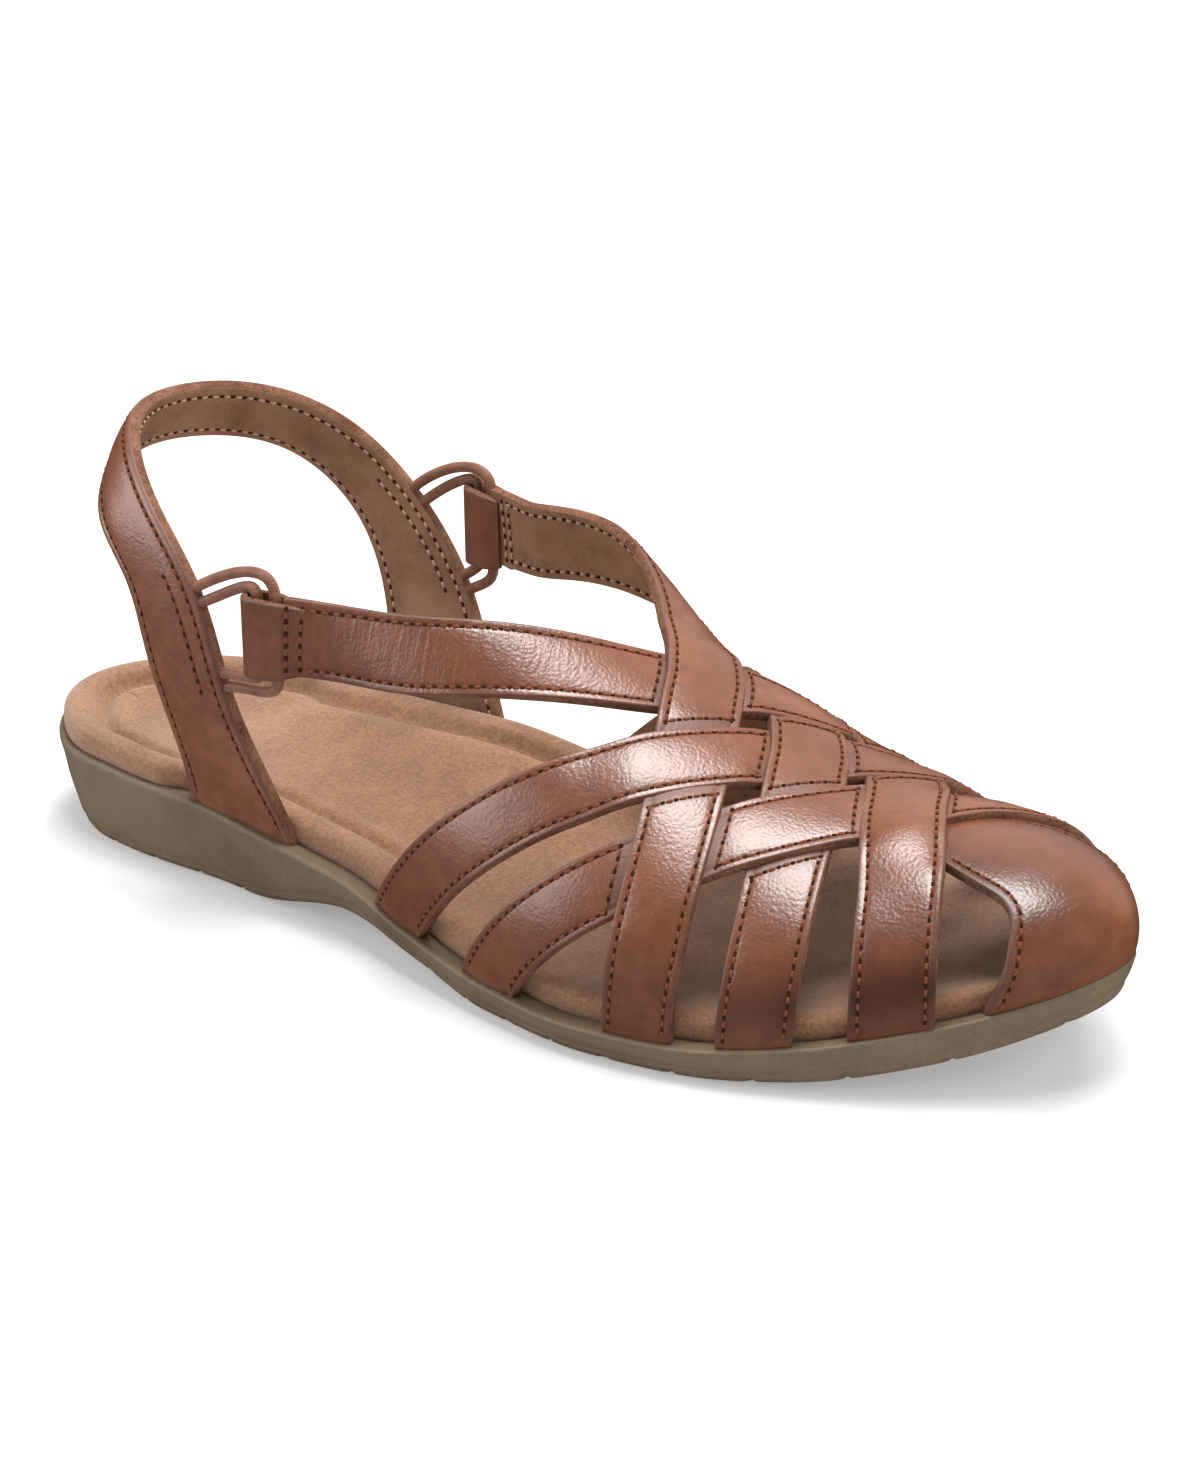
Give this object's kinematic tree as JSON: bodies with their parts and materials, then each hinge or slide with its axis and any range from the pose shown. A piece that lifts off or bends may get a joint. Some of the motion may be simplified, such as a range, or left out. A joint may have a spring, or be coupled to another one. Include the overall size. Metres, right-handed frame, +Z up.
{
  "type": "slingback sandal",
  "caption": "Right woven-strap slingback sandal with closed toe cap, padded heel sling on elastic loops, suede footbed and low moulded sole with arch and toe spring.",
  "frame": {"origin": "centre of the bounding box on the ground plane under the sole", "axes": "+X from heel to toe, +Y towards the medial side (inner side of a right foot), +Z up"},
  "size_m": [0.26, 0.099, 0.094],
  "materials": {
    "outsole_rubber": "satin moulded",
    "footbed_suede": "napped suede",
    "upper_leather": "waxed, fine grain",
    "heel_strap_leather": "waxed, padded",
    "elastic": "braided matte"
  },
  "bodies": {
    "root": {"outsole": "outsole_rubber", "footbed": "footbed_suede", "upper": "upper_leather", "heel_strap": "heel_strap_leather", "elastic_lateral_inner": "elastic", "elastic_lateral_outer": "elastic", "elastic_medial_inner": "elastic", "elastic_medial_outer": "elastic"}
  },
  "joints": []
}
